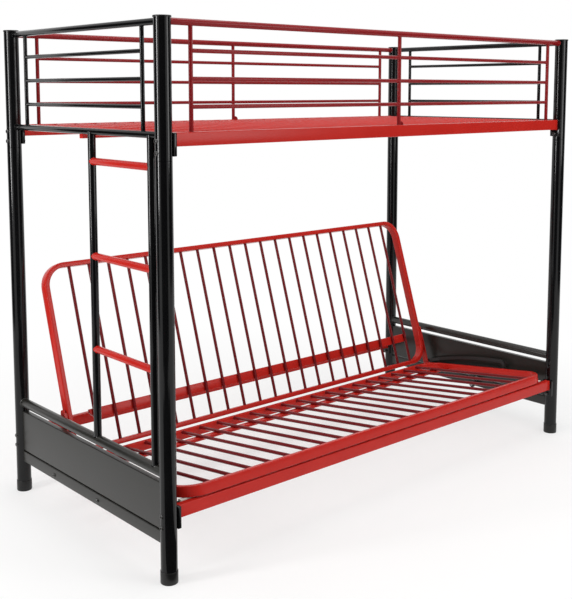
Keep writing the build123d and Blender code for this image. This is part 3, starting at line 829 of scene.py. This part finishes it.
def make_upper_base():
    """Slats of the upper bunk and the bar under them."""
    piece = bmesh.new()
    z = upper_rail_top - UPPER_SLAT
    for x in evenly(upper_slat_reach, UPPER_SLAT_COUNT):
        rod(piece, (x, -rail_inner_y, z), (x, rail_inner_y, z), UPPER_SLAT, SLAT_SIDES)
        for sy in sides:
            bead(piece, (x, sy * rail_inner_y, z), (0, -sy, 0), UPPER_SLAT, size=UPPER_SLAT_BEAD)
    finish_piece(piece, "upper_slat_rods", red_powder_coat, "frame", "red_coat", "upper_slats")
    piece = bmesh.new()
    top = upper_rail_top - 2 * UPPER_SLAT
    reach = post_x - CENTRE_BAR_PLAY
    join(piece, block((-reach, -CENTRE_BAR / 2, top - CENTRE_BAR), (reach, CENTRE_BAR / 2, top),
                      RAIL_ROUND, X, RAIL_STEPS))
    finish_piece(piece, "upper_centre_tube", red_powder_coat, "frame", "red_coat", "upper_centre_bar")


make_upper_base()

# %% [markdown]
# ## Seat and back
# Both are a frame of bent box tube with slats across it. The bent frame starts
# as one flat face. Its corners are rounded with a bevel on the four vertices, an
# inset leaves a band as wide as the tube, the middle is thrown away, and the
# band is extruded to the tube's depth. A last bevel rolls its long edges.

# %% Bend a frame
frame_half = span("seat_frame", X)[1]
TUBE_WIDTH = 18.0
TUBE_DEPTH = 34.0
TUBE_ROUND = 3.0
TUBE_STEPS = 4
CORNER = 85.0
CORNER_STEPS = 12
HINGE_GAP = 20.0
SEAT_LENGTH = 640.0
BACK_REACH = 691.0
SEAT_TILT = math.radians(7.6)
BACK_LEAN = math.radians(17.8)


def flat_face(outline):
    """One flat face on the XY plane."""
    part = bmesh.new()
    part.faces.new([part.verts.new((x, y, 0)) for x, y in outline])
    return part


def raise_faces(part, low, height):
    """Extrude every face of a flat part from low, along Z."""
    bmesh.ops.translate(part, vec=(0, 0, low), verts=part.verts)
    grown = bmesh.ops.extrude_face_region(part, geom=list(part.faces), use_keep_orig=True)
    moved = [v for v in grown["geom"] if isinstance(v, bmesh.types.BMVert)]
    bmesh.ops.translate(part, vec=(0, 0, height), verts=moved)


def bent_frame(start, end):
    """Closed frame of bent box tube, flat on XY, between two distances along Y."""
    part = flat_face([(-frame_half, start), (frame_half, start), (frame_half, end), (-frame_half, end)])
    bmesh.ops.bevel(part, geom=list(part.verts), offset=CORNER, offset_type="OFFSET",
                    segments=CORNER_STEPS, profile=0.5, affect="VERTICES", clamp_overlap=True, material=-1)
    middle_face = list(part.faces)
    bmesh.ops.inset_region(part, faces=middle_face, thickness=TUBE_WIDTH, depth=0, use_boundary=True,
                           use_even_offset=True)
    bmesh.ops.delete(part, geom=middle_face, context="FACES_ONLY")
    raise_faces(part, -TUBE_DEPTH / 2, TUBE_DEPTH)
    soften_edges(part, TUBE_ROUND, TUBE_STEPS)
    return part


def tilted(turn, y, z):
    """Matrix of a plane through Y and Z whose own Y axis leans by turn from level."""
    return Matrix.Translation((0, y, z)) @ Matrix.Rotation(turn, 4, "X")


seat_place = tilted(-SEAT_TILT, hinge_y, hinge_z) @ Matrix.Translation((0, -SEAT_LENGTH - HINGE_GAP, 0))
back_place = tilted(math.pi / 2 - BACK_LEAN, hinge_y, hinge_z)
print("seat front edge at", [round(value, 1) for value in seat_place.translation])

# %% [markdown]
# The slats are thin rods between the two long members, just below the top face
# of the tube, and a flat bar runs across under them. On the back the two lower
# corners of that bar are cut off, which is a bevel of one segment.

# %% Make the slats and the flat bar
SLAT = 6.0
SLAT_DROP = 1.0
SLAT_COUNT = 21
SLAT_BEAD = 0.9
FLAT_DEPTH = 10.0
FLAT_WIDTH = 35.0
FLAT_ROUND = 1.5
slat_reach = span("seat_slats", X)[1] - SLAT


def frame_slats(start, end):
    """Slats of the seat or the back, on its own plane."""
    part = bmesh.new()
    z = TUBE_DEPTH / 2 - SLAT_DROP - SLAT
    low = start + TUBE_WIDTH
    high = end - TUBE_WIDTH
    for x in evenly(slat_reach, SLAT_COUNT):
        rod(part, (x, low, z), (x, high, z), SLAT, SLAT_SIDES)
        bead(part, (x, low, z), (0, 1, 0), SLAT, size=SLAT_BEAD)
        bead(part, (x, high, z), (0, -1, 0), SLAT, size=SLAT_BEAD)
    return part


def flat_bar(half_length, start, cut):
    """Flat bar under the slats. cut is how much its near corners lose."""
    part = flat_face([(-half_length, start), (half_length, start),
                      (half_length, start + FLAT_WIDTH), (-half_length, start + FLAT_WIDTH)])
    if cut:
        near = [v for v in part.verts if v.co.y < start + TOUCH]
        bmesh.ops.bevel(part, geom=near, offset=cut, offset_type="OFFSET", segments=1, profile=0.5,
                        affect="VERTICES", clamp_overlap=True, material=-1)
    top = TUBE_DEPTH / 2 - SLAT_DROP - 2 * SLAT
    raise_faces(part, top - FLAT_DEPTH, FLAT_DEPTH)
    soften_edges(part, FLAT_ROUND, RIM_STEPS)
    return part


# %% [markdown]
# The seat and the back are put together flat, from their own hinge or front
# edge, and then moved to their places. Each part is its own piece, because the
# slats take a darker copy of the red, painted shade that stands in for the shade
# on the thin slats.

# %% Put the seat and the back in their places
SEAT_BAR_START = 506.0
BACK_BAR_START = 128.0
BACK_BAR_CUT = 22.0


def make_slatted(name, place, start, end, bar_half, bar_start, bar_cut):
    """Bent frame, slats and flat bar of the seat or the back."""
    parts = ((name + "_frame", bent_frame(start, end), red_powder_coat),
             # painted shade: the slats take the darkest red, for the shade on thin slats
             (name + "_slats", frame_slats(start, end), slat_red_with_painted_shade),
             (name + "_crossbar", flat_bar(bar_half, bar_start, bar_cut), red_powder_coat))
    for node, part, finish in parts:
        piece = bmesh.new()
        join(piece, part, place)
        finish_piece(piece, node + "_tube", finish, name, "red_coat", node)


make_slatted("seat", seat_place, 0, SEAT_LENGTH, frame_half - TUBE_WIDTH, SEAT_BAR_START, 0)
make_slatted("back", back_place, HINGE_GAP, BACK_REACH, span("back_crossbar", X)[1], BACK_BAR_START,
             BACK_BAR_CUT)

# %% [markdown]
# ## Bolts and nuts
# The rails are held with button-headed bolts, whose low domes show on the
# outside of every post. The head is turned, and its dome is given as shares of
# its radius and drops from its crown. A hexagon is then bridged into the ring at
# the crown, pulled down and closed, which makes the socket for the key.

# %% Turn the bolts
BOLT = 4.0
BOLT_END = 3.0
BOLT_TIP_ROUND = 0.8
BOLT_SIDES = 24
HEAD = 7.5
HEAD_HEIGHT = 4.0
HEAD_SEAT = 3.0
HEAD_SIDES = 36
HEAD_DOME = ((1.0, 3.0), (0.86, 1.0), (0.66, 0.15))
SOCKET = 2.9
SOCKET_LIP = 0.5
SOCKET_DEPTH = 2.2


def bolt_head(seat_height, face_height):
    """Button head up the Z axis with a hexagon socket, from inside the seat to its crown."""
    crown = face_height + HEAD_HEIGHT
    dome = [(HEAD * share, crown - drop) for share, drop in HEAD_DOME]
    outline = [(0, seat_height), (HEAD, seat_height), *dome, (SOCKET + SOCKET_LIP, crown)]
    part = turned(outline, HEAD_SIDES)
    rim = [e for e in part.edges if len(e.link_faces) == 1]
    hexagon = bmesh.ops.create_circle(part, cap_ends=False, segments=6, radius=SOCKET,
                                      matrix=Matrix.Translation((0, 0, crown)))["verts"]
    mouth = list({e for v in hexagon for e in v.link_edges})
    bmesh.ops.bridge_loops(part, edges=rim + mouth)
    sunk = bmesh.ops.extrude_edge_only(part, edges=mouth)["geom"]
    floor_verts = [v for v in sunk if isinstance(v, bmesh.types.BMVert)]
    floor_edges = [e for e in sunk if isinstance(e, bmesh.types.BMEdge)]
    bmesh.ops.translate(part, vec=(0, 0, -SOCKET_DEPTH), verts=floor_verts)
    bmesh.ops.contextual_create(part, geom=floor_edges)
    return part


def bolt_shank(tip, top):
    """Round shank up the Z axis from its tip."""
    return turned([(0, tip), (BOLT, tip), (BOLT, top), (0, top)], BOLT_SIDES, {1: BOLT_TIP_ROUND})


# %% [markdown]
# A nut is a six-sided cone that doesn't taper, with its corners taken off. Each
# rail has two bolts at each end, one above the other. Their places are worked
# out once, and serve the heads, the shanks and the nuts.

# %% Bolt the rails to the posts
BOLT_RISES = (10.0, 44.0)
NUT = 7.5
NUT_HEIGHT = 6.5
NUT_SOFT = 0.7


def nut(low):
    """Hexagon nut up the Z axis with chamfered corners."""
    part = bmesh.new()
    bmesh.ops.create_cone(part, cap_ends=True, cap_tris=False, segments=6, radius1=NUT, radius2=NUT,
                          depth=NUT_HEIGHT, matrix=Matrix.Translation((0, 0, low + NUT_HEIGHT / 2)))
    soften_edges(part, NUT_SOFT)
    return part


def make_rail_fasteners():
    """Bolts through the posts and nuts on the rails' end plates."""
    bolts = bmesh.new()
    nuts = bmesh.new()
    places = []
    for sx, sy in corners.values():
        for top in (upper_rail_top, lower_rail_top):
            for rise in BOLT_RISES:
                z = top - RAIL_HEIGHT - PLATE_DROP + rise
                start = (sx * post_x, sy * post_y, z)
                places.append(along(start, (sx * post_x + sx, sy * post_y, z)))
    join(bolts, bolt_head(post_radius - HEAD_SEAT, post_radius), *places)
    nut_low = -post_radius - PLATE_THICK - NUT_HEIGHT
    join(bolts, bolt_shank(nut_low - BOLT_END, post_radius - HEAD_SEAT + 1), *places)
    join(nuts, nut(nut_low), *places)
    finish_piece(bolts, "rail_bolt_heads", black_plated_steel, "frame", "black_bracket", "rail_bolts")
    finish_piece(nuts, "rail_nut_set", black_plated_steel, "frame", "black_bracket", "rail_nuts")


make_rail_fasteners()

# %% [markdown]
# The guide plates are held by the same kind of bolt, but long enough to go
# through the base rail. Two heads show on the outside of each base rail.

# %% Turn the bolts of the guide plates
GUIDE_SHANK = 56.5


def make_guide_bolts():
    """Bolts of the guide plates, with their heads on the outside of the base rails."""
    bolts = bmesh.new()
    face = span("guide_bolts", X)[1] - HEAD_HEIGHT
    front, rear = span("guide_bolts", Y)
    z = middle("guide_bolts", Z)
    places = [along((0, y, z), (sx, y, z)) for sx in sides for y in (front + HEAD, rear - HEAD)]
    join(bolts, bolt_head(face - 1, face), *places)
    join(bolts, bolt_shank(face - GUIDE_SHANK, face), *places)
    finish_piece(bolts, "guide_bolt_heads", black_plated_steel, "frame", "black_bracket", "guide_bolts")


make_guide_bolts()

# %% [markdown]
# ## Hidden hardware
# The hinge plates, pins, rollers, guide plates, brackets and pads are small and
# already have their real shape in the CAD model. They stay as they are and only
# get their finish, in the material slot of their own object.

# %% Give the CAD nodes that stay their finish
kept_nodes = {
    "seat_hinge_plates": red_powder_coat,
    "back_hinge_plates": red_powder_coat,
    "hinge_pins": bright_zinc_plate,
    "guide_rollers": natural_nylon,
    "guide_plate_left": dip_painted_plate,
    "guide_plate_right": dip_painted_plate,
    "guide_nuts": bright_zinc_plate,
    "guide_spacers": bright_zinc_plate,
    "glide_brackets": dip_painted_plate,
    "glide_pins": bright_zinc_plate,
    "glide_pads": natural_nylon,
    "post_sleeves": bright_zinc_plate,
}
for node, finish in kept_nodes.items():
    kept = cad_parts[node]
    if kept.material_slots:
        for kept_slot in kept.material_slots:
            kept_slot.material = finish
    else:
        kept.data.materials.append(finish)
print(len(kept_nodes), "CAD nodes keep their shape")

# %% [markdown]
# ## Floor and white studio
# The photograph is a cut-out on white. The floor is a wide pale sheet that keeps
# a light, soft shadow under the bed. Part of the world's white is mixed into it
# even there, and further out it fades to that white, so that no edge shows. Only
# the camera and reflections see that white. The light that falls on the bed
# stays at a plain level.

# %% Lay the floor
FLOOR_HALF = 14.0
FLOOR_MOTTLE = 400.0
FADE_START = 0.8
FADE_END = 2.4
NEAR_WHITE = 0.55
WHITE = (1, 1, 1, 1)


def rays_that_see_white(tree):
    """1 for camera, glossy and transmission rays, and 0 for the rays that light the bed."""
    path = add_node(tree, "ShaderNodeLightPath")
    glossy = add_node(tree, "ShaderNodeMath", {
        0: path.outputs["Is Camera Ray"], 1: path.outputs["Is Glossy Ray"]}, operation="MAXIMUM")
    through = add_node(tree, "ShaderNodeMath", {
        0: glossy.outputs["Value"], 1: path.outputs["Is Transmission Ray"]}, operation="MAXIMUM")
    return through.outputs["Value"]


def make_floor_finish():
    """Pale matt floor that turns into plain white away from the bed."""
    finish, tree, place = new_finish("pale_studio_floor")
    away = add_node(tree, "ShaderNodeVectorMath", {0: place}, operation="LENGTH")
    fade = add_node(tree, "ShaderNodeMapRange", {
        "Value": away.outputs["Value"], "From Min": FADE_START, "From Max": FADE_END, "To Min": NEAR_WHITE},
        interpolation_type="SMOOTHSTEP")
    mottle = add_node(tree, "ShaderNodeTexNoise", {
        "Vector": place, "Scale": per_mm(FLOOR_MOTTLE), "Detail": 2.0})
    tone = add_node(tree, "ShaderNodeMix", {
        "Factor": mottle.outputs["Fac"], FROM_COLOUR: colour("#f7f7f6"), TO_COLOUR: colour("#fafaf9")},
        data_type="RGBA")
    matt = add_node(tree, "ShaderNodeBsdfPrincipled", {
        "Base Color": tone.outputs[MIXED_COLOUR], "Roughness": 0.8, "Specular IOR Level": 0.2})
    amount = add_node(tree, "ShaderNodeMath", {
        0: fade.outputs["Result"], 1: rays_that_see_white(tree)}, operation="MULTIPLY")
    white = add_node(tree, "ShaderNodeEmission", {"Color": WHITE, "Strength": 1.0})
    both = add_node(tree, "ShaderNodeMixShader", {
        0: amount.outputs["Value"], 1: matt.outputs["BSDF"], 2: white.outputs["Emission"]})
    add_node(tree, "ShaderNodeOutputMaterial", {"Surface": both.outputs["Shader"]})
    return finish


sheet = bmesh.new()
bmesh.ops.create_grid(sheet, x_segments=8, y_segments=8, size=FLOOR_HALF)
floor_mesh = bpy.data.meshes.new("studio_floor")
sheet.to_mesh(floor_mesh)
sheet.free()
floor_mesh.materials.append(make_floor_finish())
floor = bpy.data.objects.new("studio_floor", floor_mesh)
scene.collection.objects.link(floor)
print("floor is", round(2 * FLOOR_HALF), "m wide")

# %% Light the world
WORLD_LEVEL = 0.58
world = bpy.data.worlds.new("white_studio")
world.use_nodes = True
sky = world.node_tree
sky.nodes.clear()
soft_light = add_node(sky, "ShaderNodeBackground", {"Color": WHITE, "Strength": WORLD_LEVEL})
backdrop = add_node(sky, "ShaderNodeBackground", {"Color": WHITE, "Strength": 1.0})
sky_mix = add_node(sky, "ShaderNodeMixShader", {
    0: rays_that_see_white(sky), 1: soft_light.outputs["Background"], 2: backdrop.outputs["Background"]})
add_node(sky, "ShaderNodeOutputWorld", {"Surface": sky_mix.outputs["Shader"]})
scene.world = world
print("world level", WORLD_LEVEL)

# %% [markdown]
# ## Lamps
# Three soft boxes light the set. A tall narrow one stands off the left end and
# draws the bright line down the upper part of each post, and a wider one stands
# at the front right. Both hang well above the floor, so the lines fade out lower
# down, where the posts show the floor instead. A large one lights from above.

# %% Place the soft boxes
def soft_box(name, place, aim, width, height, watts):
    """Rectangular area lamp that looks at a point."""
    lamp = bpy.data.lights.new(name, "AREA")
    lamp.shape = "RECTANGLE"
    lamp.size = width
    lamp.size_y = height
    lamp.energy = watts
    box = bpy.data.objects.new(name, lamp)
    box.location = place
    box.rotation_euler = (Vector(place) - Vector(aim)).to_track_quat("Z", "Y").to_euler()
    scene.collection.objects.link(box)
    print(name, "is", width, "by", height, "m at", watts, "W")


soft_box("left_box", (-3.8, 0.5, 1.55), (-0.9, -0.2, 1.5), 0.5, 1.6, 52)
soft_box("right_box", (1.2, -3.4, 1.75), (0, -0.3, 1.6), 1.3, 1.6, 30)
soft_box("top_box", (-0.3, -0.4, 4.4), (0, 0, 0), 2.6, 2.2, 75)

# %% [markdown]
# ## Black cards
# A studio puts black cards round the set, so that round black tubes don't
# mirror a white room in their middle, and the red faces in front aren't washed
# out by it. Here one card stands in front of the corner, one at the front right
# and one at the left, and one lies on the floor before the corner. Only
# reflections see them, and they cast no shadow.

# %% Place the black cards
CARD_NAP = 60.0


def make_black_card():
    """Matt black felt with a faint nap."""
    finish, tree, place = new_finish("black_card_felt")
    nap = add_node(tree, "ShaderNodeTexNoise", {
        "Vector": place, "Scale": per_mm(CARD_NAP), "Detail": 2.0})
    tone = add_node(tree, "ShaderNodeMix", {
        "Factor": nap.outputs["Fac"], FROM_COLOUR: colour("#1c1c1c"), TO_COLOUR: colour("#262626")},
        data_type="RGBA")
    shader = add_node(tree, "ShaderNodeBsdfPrincipled", {
        "Base Color": tone.outputs[MIXED_COLOUR], "Roughness": 0.9, "Specular IOR Level": 0.1})
    add_node(tree, "ShaderNodeOutputMaterial", {"Surface": shader.outputs["BSDF"]})
    return finish


black_card_felt = make_black_card()


def place_card(name, centre, facing, width, height):
    """Black card that only reflections see, square to the direction it faces."""
    shape = bmesh.new()
    bmesh.ops.create_grid(shape, x_segments=2, y_segments=2, size=0.5)
    turn = Vector(facing).to_track_quat("Z", "Y").to_matrix().to_4x4()
    size = Matrix.Diagonal((width, height, 1, 1))
    bmesh.ops.transform(shape, matrix=Matrix.Translation(centre) @ turn @ size, verts=shape.verts)
    mesh = bpy.data.meshes.new(name)
    shape.to_mesh(mesh)
    shape.free()
    mesh.materials.append(black_card_felt)
    card = bpy.data.objects.new(name, mesh)
    scene.collection.objects.link(card)
    card.visible_camera = False
    card.visible_diffuse = False
    card.visible_transmission = False
    card.visible_shadow = False
    print(name, "is", width, "m wide")


place_card("corner_card", (-2.1, -2.1, 1.3), (-1, -1, 0), 3.4, 2.6)
place_card("front_card", (2.7, -2.9, 1.3), (2.7, -2.9, 0), 4.6, 2.6)
place_card("left_card", (-3.0, 2.0, 1.3), (-3.0, 2.0, 0), 2.7, 2.6)
place_card("floor_card", (-1.7, -1.42, 0.004), (0, 0, 1), 2.0, 1.84)

# %% [markdown]
# ## Camera
# The photograph was taken from the front left corner, from a little below the
# top of the posts. Its upright lines stay upright, because the lens was shifted
# down and not tilted. The camera here looks the same way. It has only part of
# that shift and tilts for the rest, so that the bed stays in the picture when it
# is seen from other sides.

# %% Set up the camera
IMAGE_HEIGHT = 599
SENSOR_SIZE = 36
FAR_LIMIT = 60
FOCAL_PIXELS = 987.04
PRINCIPAL_Y = 200
CAMERA_PLACE = (-2.5473, -2.7512, 1.4324)
CAMERA_YAW = 41.494
CAMERA_PITCH = -6.271

eye = bpy.data.cameras.new("photo_camera")
eye.sensor_fit = "AUTO"
eye.sensor_width = SENSOR_SIZE
eye.lens = FOCAL_PIXELS * SENSOR_SIZE / IMAGE_HEIGHT
eye.shift_y = (PRINCIPAL_Y - IMAGE_HEIGHT / 2) / IMAGE_HEIGHT
eye.clip_end = FAR_LIMIT
camera = bpy.data.objects.new("photo_camera", eye)
camera.location = CAMERA_PLACE
camera.rotation_euler = (math.radians(90 + CAMERA_PITCH), 0, math.radians(-CAMERA_YAW))
scene.collection.objects.link(camera)
scene.camera = camera
scene.view_settings.view_transform = "Standard"
print("lens", round(eye.lens, 2), "mm, shift", round(eye.shift_y, 4))
